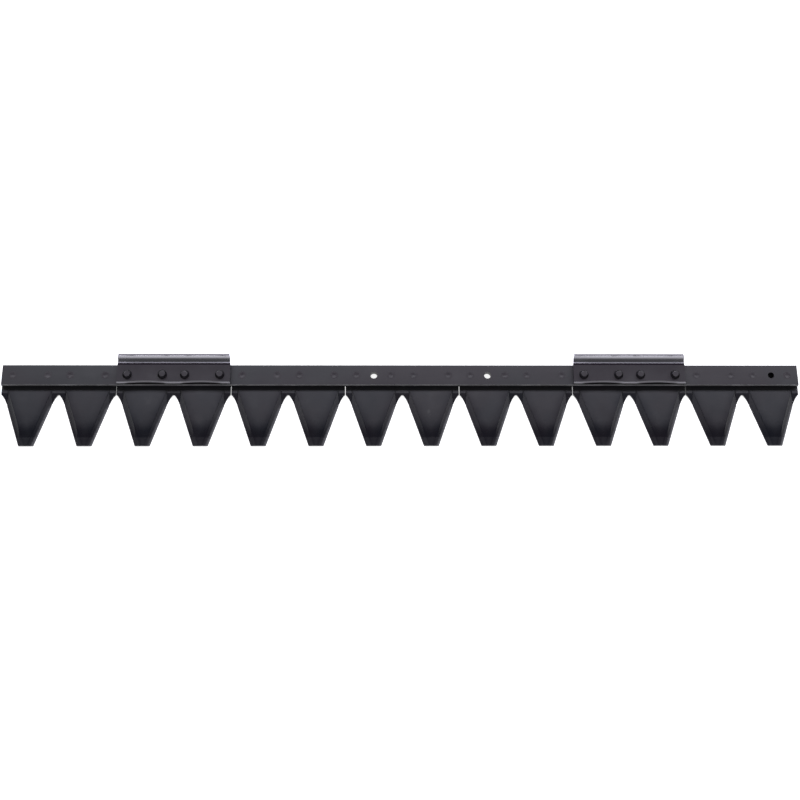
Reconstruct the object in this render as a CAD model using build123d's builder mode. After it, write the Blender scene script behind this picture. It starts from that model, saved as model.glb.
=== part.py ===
"""Upper knife of a double-knife mower: a flat back bar with seven two-toothed blades riveted under it
and two guide plates riveted on top.

X runs along the knife and its zero is at mid-length. Y is zero along the front edge of the back bar, and
the teeth point to -Y. Z is zero on the underside of the blades, which slides on the lower knife.
"""
import os
from math import acos, cos, degrees, radians, sin, tan

from build123d import *

# Driving dimensions, in millimetres and degrees.

# The row of teeth
tooth_pitch = 70.0
teeth_per_blade = 2
blade_count = 7

# Blade: a flat plate with two teeth, bevelled from above
blade_thickness = 3.0
blade_side_gap = 0.8
blade_rear_setback = 1.0
tooth_reach = 75.0
tooth_tip_width = 18.2
tooth_flank_angle = 19.4
tip_corner_radius = 1.0

# Arch between two teeth: each flank turns inwards at a shoulder and rises to a small rounded crown
shoulder_from_tip = 54.0
arch_side_radius = 32.0
arch_crown_radius = 2.0

# Hollow ground into the top round each arch, as wide as the wheel
hollow_width = 15.8
hollow_rear = 8.3
hollow_slope = 12.0

# Bevel along each flank, ground hollow on a wheel
bevel_width = 6.9
bevel_wheel_radius = 21.0
cutting_edge_thickness = 0.45

# Nose: the top rolls down ahead of the tip, then flattens out in two facets
nose_length = 32.0
nose_roll_radius = 147.0
nose_slope = 8.0
tip_facet_length = 6.0
tip_facet_slope = 3.5
tip_slope = 1.5

# Back bar
bar_width = 26.0
bar_thickness = 5.0
bar_end_setback = 0.1
bar_front_chamfer = 0.9
bar_rear_chamfer = 0.3

# Guide plates on the second and the last but one blade
guide_thickness = 3.0
guide_end_setback = 1.0
guide_front_setback = 2.0
guide_rear_overhang = 1.3
guide_end_land = 9.5
guide_middle_land = 16.0
guide_scallop_depth = 1.4
guide_front_chamfer = 1.6
lip_inner_radius = 10.0
lip_angle = 60.0
lip_end_inset = 0.4
lip_corner_radius = 1.5

# Rivets: two per tooth, along the middle of the bar as the bolt holes are
rivet_half_spacing = 21.4
rivet_shank_diameter = 6.0
rivet_flush_head_diameter = 9.8
rivet_countersink_angle = 90.0
rivet_dish_depth = 0.18
rivet_dish_diameter = 6.6
rivet_round_head_diameter = 11.6
rivet_round_head_flat = 7.2
rivet_round_head_height = 3.0
rivet_round_head_edge_radius = 0.5
rivet_clearance = 0.05

# Holes for the drive head, at the middle of the left teeth of the middle blade and the next one
drive_hole_diameter = 8.5

# Hole through the bar alone, over the last tooth
end_hole_diameter = 7.8
end_hole_offset = 1.4

# Values worked out from the driving dimensions

cut_margin = 2.0
blade_pitch = tooth_pitch * teeth_per_blade
blade_width = blade_pitch - blade_side_gap
blade_centres = [(i - (blade_count - 1) / 2) * blade_pitch for i in range(blade_count)]
blade_rear = bar_width - blade_rear_setback
bar_length = blade_count * blade_pitch - blade_side_gap - 2 * bar_end_setback
bar_top = blade_thickness + bar_thickness
guide_top = bar_top + guide_thickness
guide_length = blade_pitch - 2 * guide_end_setback
guide_blades = (1, blade_count - 2)
drive_blades = (blade_count // 2, blade_count // 2 + 1)
rivet_line = bar_width / 2
shoulder_y = shoulder_from_tip - tooth_reach
shoulder_x = (tooth_pitch - tooth_tip_width) / 2 - shoulder_from_tip * tan(radians(tooth_flank_angle))
tooth_offsets = [(i - (teeth_per_blade - 1) / 2) * tooth_pitch for i in range(teeth_per_blade)]
arch_offsets = [(i - teeth_per_blade / 2) * tooth_pitch for i in range(teeth_per_blade + 1)]
rivet_offsets = [tooth + side * rivet_half_spacing for tooth in tooth_offsets for side in (-1, 1)]
drive_hole_xs = [blade_centres[i] + tooth_offsets[0] for i in drive_blades]
end_hole_x = blade_centres[-1] + tooth_offsets[-1] + end_hole_offset


def tooth_gap():
    """Open space between two teeth, seen from above, centred on X zero."""
    flank = radians(tooth_flank_angle)
    arch_turn = degrees(acos(cos(flank) - shoulder_x / arch_side_radius)) - tooth_flank_angle
    front_y = -tooth_reach - cut_margin
    front_x = shoulder_x + (shoulder_y - front_y) * tan(flank)
    with BuildSketch() as gap:
        with BuildLine():
            side = Line((front_x, front_y), (shoulder_x, shoulder_y))
            JernArc(start=side @ 1, tangent=side % 1, radius=arch_side_radius, arc_size=arch_turn)
            mirror(about=Plane.YZ)
            Line((-front_x, front_y), (front_x, front_y))
        make_face()
        fillet(gap.vertices().sort_by(Axis.Y)[-1], radius=arch_crown_radius)
    return gap.sketch


def grinding_round_a_gap():
    """Everything ground off the top round one gap: the hollow at the arch and a bevel along each flank."""
    flank = radians(tooth_flank_angle)
    flank_direction = (sin(flank), -cos(flank), 0)
    into_tooth = (cos(flank), sin(flank), 0)
    flank_section = Plane(origin=(shoulder_x, shoulder_y, 0), x_dir=into_tooth, z_dir=flank_direction)
    above = blade_thickness + cut_margin
    hollow_front = -hollow_rear - (blade_thickness + cut_margin) / tan(radians(hollow_slope))
    with BuildPart() as grinding:
        with BuildSketch(flank_section):
            with BuildLine():
                bevel = RadiusArc(
                    (0, cutting_edge_thickness), (bevel_width, blade_thickness), -bevel_wheel_radius
                )
                Polyline(
                    bevel @ 1,
                    (bevel_width, above),
                    (-bevel_width / 2, above),
                    (-bevel_width / 2, cutting_edge_thickness),
                    bevel @ 0,
                )
            make_face()
        extrude(amount=tooth_reach, both=True)
        mirror(about=Plane.YZ)
        with Locations((0, 0, 0)):
            Box(hollow_width, 4 * tooth_reach, 4 * blade_thickness, mode=Mode.SUBTRACT)
        with BuildSketch(Plane.YZ):
            with BuildLine():
                Polyline(
                    (-hollow_rear, blade_thickness),
                    (hollow_front, -cut_margin),
                    (hollow_front, above),
                    (-hollow_rear, above),
                    close=True,
                )
            make_face()
        extrude(amount=hollow_width / 2, both=True)
    return grinding.part


def nose_grinding():
    """What is ground off the top ahead of the tips, right across a blade."""
    with BuildPart() as nose:
        with BuildSketch(Plane.YZ):
            with BuildLine():
                roll = JernArc(
                    start=(nose_length - tooth_reach, blade_thickness),
                    tangent=(-1, 0),
                    radius=nose_roll_radius,
                    arc_size=nose_slope,
                )
                facet = Line(
                    roll @ 1,
                    roll @ 1 + Vector(-tip_facet_length, -tip_facet_length * tan(radians(tip_facet_slope))),
                )
                run = (facet @ 1).X + tooth_reach + cut_margin
                tip = Line(facet @ 1, facet @ 1 + Vector(-run, -run * tan(radians(tip_slope))))
                above = blade_thickness + cut_margin
                Polyline(
                    tip @ 1,
                    (-tooth_reach - cut_margin, above),
                    (nose_length - tooth_reach, above),
                    roll @ 0,
                )
            make_face()
        extrude(amount=blade_pitch / 2, both=True)
    return nose.part


def rivet_blank(stack, top, clearance=0.0):
    """Rivet through a stack of plates, or with a clearance the hole for it.

    Its foot is a countersunk head flush with the underside. Its top is a flush countersunk head with a
    shallow dish, or a low cone with a flat top above the stack.
    """
    shank = rivet_shank_diameter / 2 + clearance
    head = rivet_flush_head_diameter / 2 + clearance
    sink = (head - shank) / tan(radians(rivet_countersink_angle / 2))
    round_head = rivet_round_head_diameter / 2
    with BuildPart() as rivet:
        with BuildSketch(Plane.XZ) as section:
            with BuildLine():
                if top == "flush":
                    side = Polyline((head, 0), (shank, sink), (shank, stack - sink), (head, stack))
                    if clearance:
                        Polyline(side @ 1, (0, stack), (0, 0), side @ 0)
                    else:
                        dish = (rivet_dish_diameter / 2, stack)
                        Polyline(side @ 1, dish, (0, stack - rivet_dish_depth), (0, 0), side @ 0)
                elif clearance:
                    Polyline((head, 0), (shank, sink), (shank, stack), (0, stack), (0, 0), close=True)
                else:
                    head_top = stack + rivet_round_head_height
                    side = Polyline((head, 0), (shank, sink), (shank, stack), (round_head, stack))
                    flat = (rivet_round_head_flat / 2, head_top)
                    Polyline(side @ 1, flat, (0, head_top), (0, 0), side @ 0)
            make_face()
            if top == "round" and not clearance:
                rim = section.vertices().group_by(Axis.Y)[-1].sort_by(Axis.X)[-1]
                fillet(rim, radius=rivet_round_head_edge_radius)
        revolve(axis=Axis.Z)
    return rivet.part


# Tools shared by the pieces

gap_outline = tooth_gap()
gap_grinding = grinding_round_a_gap()
nose_cut = nose_grinding()
flush_rivet_hole = rivet_blank(bar_top, "flush", rivet_clearance)
round_rivet_hole = rivet_blank(guide_top, "round", rivet_clearance)

os.makedirs("parts", exist_ok=True)


# Blades

def make_blade(index):
    centre = blade_centres[index]
    with BuildPart() as blade:
        with BuildSketch() as outline:
            with Locations((0, blade_rear)):
                Rectangle(blade_width, blade_rear + tooth_reach, align=(Align.CENTER, Align.MAX))
            with Locations(*[(x, 0) for x in arch_offsets]):
                add(gap_outline, mode=Mode.SUBTRACT)
            fillet(outline.vertices().group_by(Axis.Y)[0], radius=tip_corner_radius)
        extrude(amount=blade_thickness)
        with Locations(*[(x, 0, 0) for x in arch_offsets]):
            add(gap_grinding, mode=Mode.SUBTRACT)
        add(nose_cut, mode=Mode.SUBTRACT)
        with Locations(*[(x, rivet_line, 0) for x in rivet_offsets]):
            add(flush_rivet_hole, mode=Mode.SUBTRACT)
        if index in drive_blades:
            with Locations((tooth_offsets[0], rivet_line, 0)):
                Cylinder(drive_hole_diameter / 2, 4 * blade_thickness, mode=Mode.SUBTRACT)
    blade.part.label = f"blade_{index + 1}"
    return blade.part.moved(Location((centre, 0, 0)))


for number in range(blade_count):
    blade_part = make_blade(number)
    export_step(blade_part, f"parts/blade_{number + 1}.step")


# Knife back

with BuildPart() as knife_back:
    with BuildSketch(Plane.XY.offset(blade_thickness)):
        Rectangle(bar_length, bar_width, align=(Align.CENTER, Align.MIN))
    extrude(amount=bar_thickness)
    for side, size in ((0, bar_front_chamfer), (-1, bar_rear_chamfer)):
        top_face = knife_back.faces().sort_by(Axis.Z)[-1]
        chamfer(top_face.edges().filter_by(Axis.X).sort_by(Axis.Y)[side], length=size)
    for number, centre in enumerate(blade_centres):
        hole = round_rivet_hole if number in guide_blades else flush_rivet_hole
        with Locations(*[(centre + x, rivet_line, 0) for x in rivet_offsets]):
            add(hole, mode=Mode.SUBTRACT)
    with Locations(*[(x, rivet_line, 0) for x in drive_hole_xs]):
        Cylinder(drive_hole_diameter / 2, 4 * bar_top, mode=Mode.SUBTRACT)
    with Locations((end_hole_x, rivet_line, 0)):
        Cylinder(end_hole_diameter / 2, 4 * bar_top, mode=Mode.SUBTRACT)
knife_back.part.label = "knife_back"
export_step(knife_back.part, "parts/knife_back.step")


# Guide plates

def make_guide_plate(index, name):
    half = guide_length / 2
    front = guide_front_setback
    scallop_ends = (half - guide_end_land, guide_middle_land / 2)
    scallop_middle = sum(scallop_ends) / 2
    bend = bar_width + guide_rear_overhang
    with BuildPart() as plate:
        with BuildSketch(Plane.XY.offset(bar_top)):
            with BuildLine():
                Line((-scallop_ends[1], front), (scallop_ends[1], front))
                scallop = ThreePointArc(
                    (scallop_ends[1], front),
                    (scallop_middle, front + guide_scallop_depth),
                    (scallop_ends[0], front),
                )
                Polyline(scallop @ 1, (half, front), (half, bend), (0, bend))
                mirror(about=Plane.YZ)
            make_face()
        extrude(amount=guide_thickness)
        front_edges = plate.faces().sort_by(Axis.Z)[-1].edges().filter_by_position(
            Axis.Y, front - cut_margin, front + guide_scallop_depth + cut_margin / 4
        )
        chamfer(front_edges, length=guide_front_chamfer)
        with BuildSketch(Plane.YZ):
            with BuildLine():
                inner = JernArc(
                    start=(bend, guide_top), tangent=(1, 0), radius=lip_inner_radius, arc_size=lip_angle
                )
                outer = JernArc(
                    start=(bend, bar_top),
                    tangent=(1, 0),
                    radius=lip_inner_radius + guide_thickness,
                    arc_size=lip_angle,
                )
                Line(inner @ 1, outer @ 1)
                Polyline(
                    inner @ 0,
                    (bend - guide_thickness, guide_top),
                    (bend - guide_thickness, bar_top),
                    outer @ 0,
                )
            make_face()
        extrude(amount=half - lip_end_inset, both=True)
        free_edge = plate.faces().sort_by(Axis.Y)[-1]
        fillet(free_edge.edges().filter_by(Axis.X, reverse=True), radius=lip_corner_radius)
        with Locations(*[(x, rivet_line, 0) for x in rivet_offsets]):
            add(round_rivet_hole, mode=Mode.SUBTRACT)
    plate.part.label = name
    return plate.part.moved(Location((blade_centres[index], 0, 0)))


for number, name in zip(guide_blades, ("guide_plate_left", "guide_plate_right")):
    guide_part = make_guide_plate(number, name)
    export_step(guide_part, f"parts/{name}.step")


# Rivets

flush_rivet = rivet_blank(bar_top, "flush")
round_rivet = rivet_blank(guide_top, "round")

for number, centre in enumerate(blade_centres):
    kind, rivet = ("round", round_rivet) if number in guide_blades else ("flush", flush_rivet)
    for place, x in enumerate(rivet_offsets):
        piece = rivet.moved(Location((centre + x, rivet_line, 0)))
        piece.label = f"{kind}_rivet_{number + 1}_{place + 1}"
        export_step(piece, f"parts/{piece.label}.step")
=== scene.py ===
"""Upper knife of a double-knife mower, laid flat: bar, seven two-toothed blades, two guide plates, rivets."""
from math import cos, radians, sin, tan

import bpy
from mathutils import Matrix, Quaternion, Vector

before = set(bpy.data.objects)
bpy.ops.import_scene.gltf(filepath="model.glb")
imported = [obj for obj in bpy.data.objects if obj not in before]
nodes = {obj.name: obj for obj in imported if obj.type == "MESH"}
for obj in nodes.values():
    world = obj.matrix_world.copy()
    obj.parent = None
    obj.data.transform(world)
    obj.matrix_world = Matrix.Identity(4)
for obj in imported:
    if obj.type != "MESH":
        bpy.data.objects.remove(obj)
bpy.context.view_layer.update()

scene = bpy.context.scene


# Camera
# It looks down steeply from in front of the teeth, a little from the left, and is turned a few degrees
# so that the knife runs downhill to the right.

aim_point = Vector((-0.00283, -0.01647, 0.0))
aim_distance = 1.4256
look_down = radians(73.0)
look_right = radians(3.682)
camera_roll = radians(3.518)

look = Vector((sin(look_right) * cos(look_down), cos(look_right) * cos(look_down), -sin(look_down)))
camera_data = bpy.data.cameras.new("camera")
camera_data.lens = 52.19
camera_data.sensor_width = 36.0
camera_data.clip_start = 0.05
camera_data.clip_end = 50.0
camera = bpy.data.objects.new("camera", camera_data)
camera.location = aim_point - look * aim_distance
camera.rotation_mode = "QUATERNION"
camera.rotation_quaternion = look.to_track_quat("-Z", "Y") @ Quaternion((0, 0, 1), camera_roll)
scene.collection.objects.link(camera)
scene.camera = camera
scene.view_settings.view_transform = "Standard"


# Floor and studio light
# A white table top, lit by a long soft strip behind the knife and by weak light from all round. The strip
# is what the flat tops half reflect, so faces that tip towards the teeth turn dark.

class Shade:
    """One value or colour in a node tree, so that sums on it read as sums."""

    def __init__(self, tree, socket=None):
        self.tree = tree
        self.socket = socket

    def node(self, kind, settings=None, sockets=None, output=0):
        made = self.tree.nodes.new(kind)
        for name, value in (settings or {}).items():
            if name == "stops":
                ramp = made.color_ramp.elements
                while len(ramp) < len(value):
                    ramp.new(1.0)
                for stop, (place, grey) in zip(ramp, value):
                    stop.position = place
                    stop.color = (grey, grey, grey, 1.0)
            else:
                setattr(made, name, value)
        for name, value in (sockets or {}).items():
            if isinstance(value, Shade):
                self.tree.links.new(value.socket, made.inputs[name])
            else:
                made.inputs[name].default_value = value
        return Shade(self.tree, made.outputs[output]) if made.outputs else None

    def sum(self, operation, *values):
        return self.node("ShaderNodeMath", {"operation": operation}, dict(enumerate(values)))

    def __add__(self, other):
        return self.sum("ADD", self, other)

    def __radd__(self, other):
        return self.sum("ADD", other, self)

    def __sub__(self, other):
        return self.sum("SUBTRACT", self, other)

    def __rsub__(self, other):
        return self.sum("SUBTRACT", other, self)

    def __mul__(self, other):
        return self.sum("MULTIPLY", self, other)

    def __rmul__(self, other):
        return self.sum("MULTIPLY", other, self)

    def step(self, start, end):
        """0 before start and 1 after end, with a soft change between them."""
        return self.node(
            "ShaderNodeMapRange",
            {"interpolation_type": "SMOOTHSTEP"},
            {"Value": self, "From Min": start, "From Max": end},
        )


floor_size = 12.0
floor_colour = (0.8, 0.8, 0.8, 1.0)
floor_glow = 0.9

bpy.ops.mesh.primitive_plane_add(size=floor_size)
table_top = bpy.context.object
table_top.name = "table_top"
table_look = bpy.data.materials.new("table_white")
table_look.use_nodes = True
table_tree = table_look.node_tree
table_tree.nodes.clear()
table = Shade(table_tree)
rays = table.node("ShaderNodeLightPath").socket.node.outputs
shows_white = Shade(table_tree, rays["Is Camera Ray"])
shows_white += Shade(table_tree, rays["Is Glossy Ray"])
shows_white += Shade(table_tree, rays["Is Transmission Ray"])
glow = table.node("ShaderNodeEmission", None, {"Color": (1, 1, 1, 1), "Strength": shows_white * floor_glow})
board = table.node("ShaderNodeBsdfDiffuse", None, {"Color": floor_colour})
both = table.node("ShaderNodeAddShader", None, {0: board, 1: glow})
table.node("ShaderNodeOutputMaterial", None, {"Surface": both})
table_top.data.materials.append(table_look)

strip_length = 2.0
strip_width = 0.075
strip_distance = 0.39
strip_height_angle = radians(37.5)
strip_watts = 7.0
strip_colour = (0.92, 0.91, 1.0)
strip_to_right = 0.2

strip_data = bpy.data.lights.new("strip_light", "AREA")
strip_data.shape = "RECTANGLE"
strip_data.size = strip_length
strip_data.size_y = strip_width
strip_data.energy = strip_watts
strip_data.color = strip_colour
strip = bpy.data.objects.new("strip_light", strip_data)
strip_place = Vector((0.0, cos(strip_height_angle), sin(strip_height_angle))) * strip_distance
strip.rotation_mode = "QUATERNION"
strip.rotation_quaternion = (-strip_place).to_track_quat("-Z", "Y")
strip.location = strip_place + Vector((strip_to_right, 0.0, 0.0))
strip.visible_camera = False
scene.collection.objects.link(strip)

room_wall_grey = 0.9
room_ceiling_grey = 0.085

room = bpy.data.worlds.new("room")
room.use_nodes = True
room_tree = room.node_tree
room_tree.nodes.clear()
walls = Shade(room_tree)
direction = walls.node("ShaderNodeTexCoord", None, None, "Generated")
height = walls.node("ShaderNodeSeparateXYZ", None, {"Vector": direction}, "Z")
up = height.step(0.25, 0.75)
grey = room_wall_grey + up * (room_ceiling_grey - room_wall_grey)
light = walls.node("ShaderNodeBackground", None, {"Strength": grey})
walls.node("ShaderNodeOutputWorld", None, {"Surface": light})
scene.world = room


# Blades
# Seven plates of hardened steel with two teeth each, cut out flat, ground hollow along the cutting edges
# and at the arches, thinned towards the tips and sprayed black. The spray has rubbed off where they cut.

tooth_pitch = 70.0
tooth_reach = 75.0
flank_slope = tan(radians(19.4))
shoulder_half_gap = 6.88
shoulder_behind_bar_front = -21.0
bevel_width = 6.9
blade_spray = (0.0050, 0.0058, 0.0110, 1.0)
blade_spray_thin = (0.0082, 0.0066, 0.0115, 1.0)
# Grey for dust, also used as a painted highlight on front edges and rivet dishes.
dust_and_highlight_grey = (0.030, 0.029, 0.033, 1.0)
worn_grey = (0.15, 0.15, 0.16, 1.0)
ground_steel = (0.42, 0.42, 0.44, 1.0)
spray_ior = 1.66


def new_finish(name):
    """A new finish, with where each point lies on the knife in millimetres: along, across and up."""
    finish = bpy.data.materials.new(name)
    finish.use_nodes = True
    finish.node_tree.nodes.clear()
    tree = Shade(finish.node_tree)
    place = tree.node("ShaderNodeTexCoord", None, None, "Object")
    axes = [tree.node("ShaderNodeSeparateXYZ", None, {"Vector": place}, axis) * 1000.0 for axis in "XYZ"]
    return finish, tree, place, axes


def mottle(tree, place, per_metre, detail=2.0, stretch=(1.0, 1.0, 1.0)):
    """Uneven cloud from 0 to 1, about a half on average."""
    spread = tree.node("ShaderNodeMapping", None, {"Vector": place, "Scale": stretch})
    settings = {"Vector": spread, "Scale": per_metre, "Detail": detail, "Roughness": 0.6}
    return tree.node("ShaderNodeTexNoise", None, settings, "Fac")


def tint(tree, amount, colour, other_colour):
    """One colour turning into another as the amount goes from 0 to 1."""
    return tree.node("ShaderNodeMix", {"data_type": "RGBA"}, {0: amount, 6: colour, 7: other_colour}, 2)


def spray_on(tree, spray, steel_colour_and_shade, dust_and_highlight, bare_and_painted_light, roughness, relief, relief_height):
    """Black spray on steel. The dust amount greys it, as dust and, on front edges and flush rivet dishes, as a
    painted highlight. The bare amount shows the steel colour with metal shine: bare steel, a painted highlight
    on front edges, and on the raised rivet heads' sides a near-black colour that is painted shade.
    """
    colour = tint(tree, bare_and_painted_light, tint(tree, dust_and_highlight, spray, dust_and_highlight_grey), steel_colour_and_shade)
    grain = tree.node("ShaderNodeBump", None, {"Height": relief, "Strength": 1.0, "Distance": relief_height})
    skin = tree.node(
        "ShaderNodeBsdfPrincipled",
        None,
        {"Base Color": colour, "Metallic": bare_and_painted_light, "Roughness": roughness, "Normal": grain, "IOR": spray_ior},
    )
    tree.node("ShaderNodeOutputMaterial", None, {"Surface": skin})


def dress(part, finish):
    part.data.materials.clear()
    part.data.materials.append(finish)


blade_finish, tree, place, (along, across, up) = new_finish("blade_spray")
from_gap = along.sum("PINGPONG", along, tooth_pitch / 2)
flank = shoulder_half_gap - (across - shoulder_behind_bar_front) * flank_slope
from_edge = (from_gap - flank) * cos(radians(19.4))
right_side = along.sum("WRAP", along, tooth_pitch, 0.0).step(tooth_pitch / 2, tooth_pitch / 2 + 1.0)
toward_tip = 1 - across.step(-66.0, -22.0)
nose = (1 - across.step(-61.0, -46.0)) * across.step(-65.0, -63.4)
tip_end = 1 - across.step(-tooth_reach - 0.2, -tooth_reach + 1.6)
border = 1 - from_edge.step(bevel_width - 1.0, bevel_width + 11.0)
bevel = 1 - from_edge.step(bevel_width - 0.6, bevel_width + 0.2)
crease = from_edge.step(bevel_width - 1.6, bevel_width - 0.2) * (1 - from_edge.step(bevel_width - 0.2, bevel_width + 1.4))
hollow = (1 - from_gap.step(7.4, 8.3)) * (1 - across.step(-9.6, -8.4)) * across.step(-30.0, -24.0)
smudge_along = (along - 32.5) * 1.3
smudge_across = (across + 34.0) * 0.6
smudge = 1 - (smudge_along * smudge_along + smudge_across * smudge_across).step(2.0, 14.0)
clouds = mottle(tree, place, 38.0, 4.0)
specks = mottle(tree, place, 900.0, 2.0)
scratches = mottle(tree, place, 60.0, 3.0, (1.0, 14.0, 1.0))
chips = mottle(tree, place, 420.0)
cut_wear = (1 - from_edge.step(0.3, 1.0 + right_side * 3.0)) * (1 - across.step(-30.0, -20.0))
cut_wear *= (0.30 + right_side * (0.35 + toward_tip * 0.35)) * (0.5 + chips.step(0.3, 0.6) * 0.5)
tip_wear = tip_end * (0.4 + chips.step(0.3, 0.6) * 0.4)
under_rub = (1 - up.step(0.0, 0.12)) * scratches.step(0.5, 0.7) * 0.5
bare_and_painted_light = under_rub + cut_wear * 0.15
roughness = 0.51 - toward_tip * 0.08 - border * 0.08 - crease * 0.08 - nose * 0.13 - hollow * 0.13
roughness += (clouds - 0.5) * 0.14 + (specks - 0.5) * 0.05 + bevel * 0.04
dust_and_highlight = clouds.step(0.55, 0.8) * 0.35 + bevel * 0.12 + smudge * mottle(tree, place, 300.0).step(0.35, 0.6) * 0.8
relief = specks * 0.6 + mottle(tree, place, 2600.0) * 0.25 + scratches * 0.3
spray = tint(tree, mottle(tree, place, 17.0).step(0.35, 0.65), blade_spray, blade_spray_thin)
spray = tint(tree, cut_wear + tip_wear, spray, worn_grey)
spray_on(tree, spray, ground_steel, dust_and_highlight, bare_and_painted_light, roughness, relief, 0.00003)

for number in range(1, 8):
    dress(nodes[f"blade_{number}"], blade_finish)


# Knife back
# One long flat bar of rolled steel, drilled for the rivets and sprayed black. It lies on the blades and
# holds them in line. Its edges are broken. The front edge is greyed and partly bare, partly rubbed wear
# and partly a painted highlight; the rear edge has a faint painted highlight.

bar_spray = (0.0098, 0.0062, 0.0115, 1.0)
bar_spray_thin = (0.0060, 0.0066, 0.0105, 1.0)

bar_finish, tree, place, (along, across, up) = new_finish("bar_spray")
facing = tree.node("ShaderNodeNewGeometry", None, None, "True Normal")
facing_y = tree.node("ShaderNodeSeparateXYZ", None, {"Vector": facing}, "Y")
facing_z = tree.node("ShaderNodeSeparateXYZ", None, {"Vector": facing}, "Z")
slanted = facing_z.step(0.3, 0.5) * (1 - facing_z.step(0.9, 0.97))
front_edge = slanted * (1 - facing_y.step(-0.6, -0.3))
rear_edge = slanted * facing_y.step(0.3, 0.6)
rolling = mottle(tree, place, 30.0, 4.0, (0.25, 3.0, 1.0))
clouds = mottle(tree, place, 24.0, 3.0)
specks = mottle(tree, place, 900.0, 2.0)
patches = mottle(tree, place, 55.0, 2.0, (1.0, 0.2, 1.0))
# Painted highlight: the front edge's greying and bare steel stand partly for rubbed wear and partly for the
# light on that edge; the rear edge's touch of bare steel is a painted highlight.
bare_and_painted_light = front_edge * (0.42 + patches.step(0.35, 0.75) * 0.28) + rear_edge * 0.04
roughness = 0.50 + (rolling - 0.5) * 0.08 + (clouds - 0.5) * 0.10 + (specks - 0.5) * 0.05
dust_and_highlight = clouds.step(0.55, 0.8) * 0.3 + front_edge * 0.5
relief = specks * 0.6 + rolling * 0.4 + mottle(tree, place, 2600.0) * 0.25
spray = tint(tree, mottle(tree, place, 6.0).step(0.4, 0.6), bar_spray, bar_spray_thin)
spray_on(tree, spray, ground_steel, dust_and_highlight, bare_and_painted_light, roughness, relief, 0.00003)

dress(nodes["knife_back"], bar_finish)


# Guide plates
# Two shorter plates of spring steel on top of the bar. Their rear edge is bent up into a smooth lip that
# the holder runs against, which is left as bright steel. Their ground front edge is greyed and partly bare,
# which is partly wear and partly a painted highlight.

plate_top = 11.0
lip_crease = 27.3
lip_radius = 10.0
lip_angle = 60.0
lip_steel = (0.60, 0.59, 0.66, 1.0)
plate_centres = (-280.0, 280.0)
plate_half_length = 69.0

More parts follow.
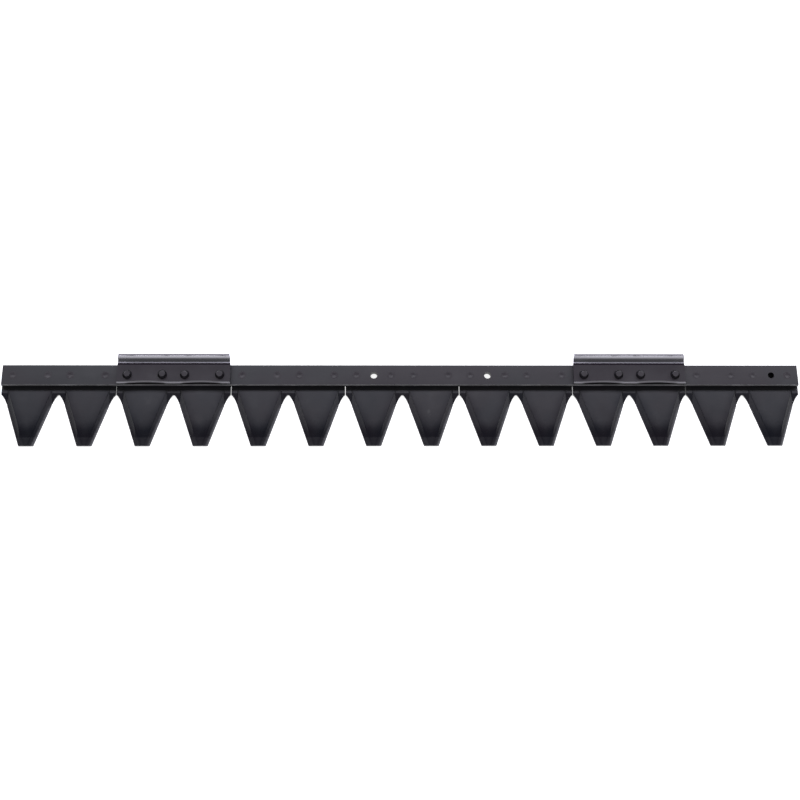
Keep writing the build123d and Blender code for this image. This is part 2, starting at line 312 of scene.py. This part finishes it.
for name, centre in zip(("guide_plate_left", "guide_plate_right"), plate_centres):
    plate_finish, tree, place, (along, across, up) = new_finish(name + "_spray")
    facing = tree.node("ShaderNodeNewGeometry", None, None, "True Normal")
    facing_y = tree.node("ShaderNodeSeparateXYZ", None, {"Vector": facing}, "Y")
    facing_z = tree.node("ShaderNodeSeparateXYZ", None, {"Vector": facing}, "Z")
    from_middle = (along - centre).sum("ABSOLUTE", along - centre)
    at_end = from_middle.step(plate_half_length - 26.0, plate_half_length)
    front_edge = facing_z.step(0.3, 0.5) * (1 - facing_z.step(0.9, 0.97)) * (1 - facing_y.step(-0.6, -0.3))
    front_edge *= 1 - across.step(6.0, 8.0)
    rise = (across - lip_crease).sum("ARCTAN2", across - lip_crease, plate_top + lip_radius - up)
    lip = rise.step(radians(1.0), radians(3.0))
    lip_foot = lip * (1 - rise.step(radians(8.0), radians(13.0)))
    lip_cut = rise.step(radians(lip_angle - 0.7), radians(lip_angle - 0.3))
    dull_band = across.step(lip_crease - 2.2, lip_crease - 1.6) * (1 - lip)
    toward_front = 1 - across.step(4.0, 26.0)
    clouds = mottle(tree, place, 30.0, 3.0)
    specks = mottle(tree, place, 900.0, 2.0)
    drawing = mottle(tree, place, 40.0, 3.0, (0.06, 6.0, 6.0))
    land = 1 - (from_middle - 34.0).sum("ABSOLUTE", from_middle - 34.0).step(20.0, 26.0)
    # Painted highlight: the front edge's greying and bare steel stand partly for wear and partly for the light
    # on that edge, fainter over part of each plate's length.
    bare_and_painted_light = lip * (1 - lip_cut * 0.78) + front_edge * (0.68 - land * 0.22)
    roughness = 0.40 + toward_front * 0.06 + (clouds - 0.5) * 0.12 + (specks - 0.5) * 0.05 - dull_band * 0.22
    roughness += lip * (-0.18 + (drawing - 0.5) * 0.10 + at_end * 0.05) + lip_foot * 0.20
    dust_and_highlight = clouds.step(0.55, 0.8) * 0.3 + front_edge * 0.5
    relief = specks * 0.5 * (1 - lip) + drawing * lip * 0.6 + mottle(tree, place, 2600.0) * 0.2
    spray_on(tree, bar_spray, lip_steel, dust_and_highlight, bare_and_painted_light, roughness, relief, 0.00003)
    dress(nodes[name], plate_finish)


# Rivets
# Four steel rivets a blade, set from above with their countersunk feet flush underneath. Through the bar
# alone their heads are flush with a punched dish, and on the guide plates they stand up as low heads.
# The sides of the raised heads carry a painted shade, and the front of each dish a painted highlight.

rivet_line = 13.0
rivet_half_spacing = 21.4
# Near-black metal colour that paints shade on the sides of the raised heads.
head_side_shade = (0.014, 0.013, 0.016, 1.0)

rivet_finish, tree, place, (along, across, up) = new_finish("rivet_spray")
from_tooth = along.sum("WRAP", along, tooth_pitch, 0.0) - tooth_pitch / 2
beside = from_tooth.sum("ABSOLUTE", from_tooth) - rivet_half_spacing
behind = across - rivet_line
off_centre = (beside * beside + behind * behind).sum("SQRT", beside * beside + behind * behind)
clouds = mottle(tree, place, 70.0, 3.0)
specks = mottle(tree, place, 1100.0, 2.0)
facing = tree.node("ShaderNodeNewGeometry", None, None, "True Normal")
# Painted shade: the sides of the raised heads get a near-black metal colour all round.
head_side = 1 - tree.node("ShaderNodeSeparateXYZ", None, {"Vector": facing}, "Z").step(0.75, 0.95)
painted_shade_sides = head_side * up.step(8.5, 9.0)
# Painted highlight: the front half of each flush head's dish is greyed where the light from behind falls on
# its wall.
dish_front_highlight = (1 - behind.step(-1.2, 0.6)) * (1 - off_centre.step(2.4, 3.3)) * (1 - up.step(8.2, 8.6))
roughness = 0.46 + (clouds - 0.5) * 0.12 + (specks - 0.5) * 0.06 - painted_shade_sides * 0.05
dust_and_highlight = clouds.step(0.5, 0.8) * 0.3 + dish_front_highlight * 0.6
relief = specks * 0.8 + mottle(tree, place, 2600.0) * 0.3
spray_on(tree, bar_spray, head_side_shade, dust_and_highlight, painted_shade_sides, roughness, relief, 0.00004)

for name, part in nodes.items():
    if "rivet" in name:
        dress(part, rivet_finish)
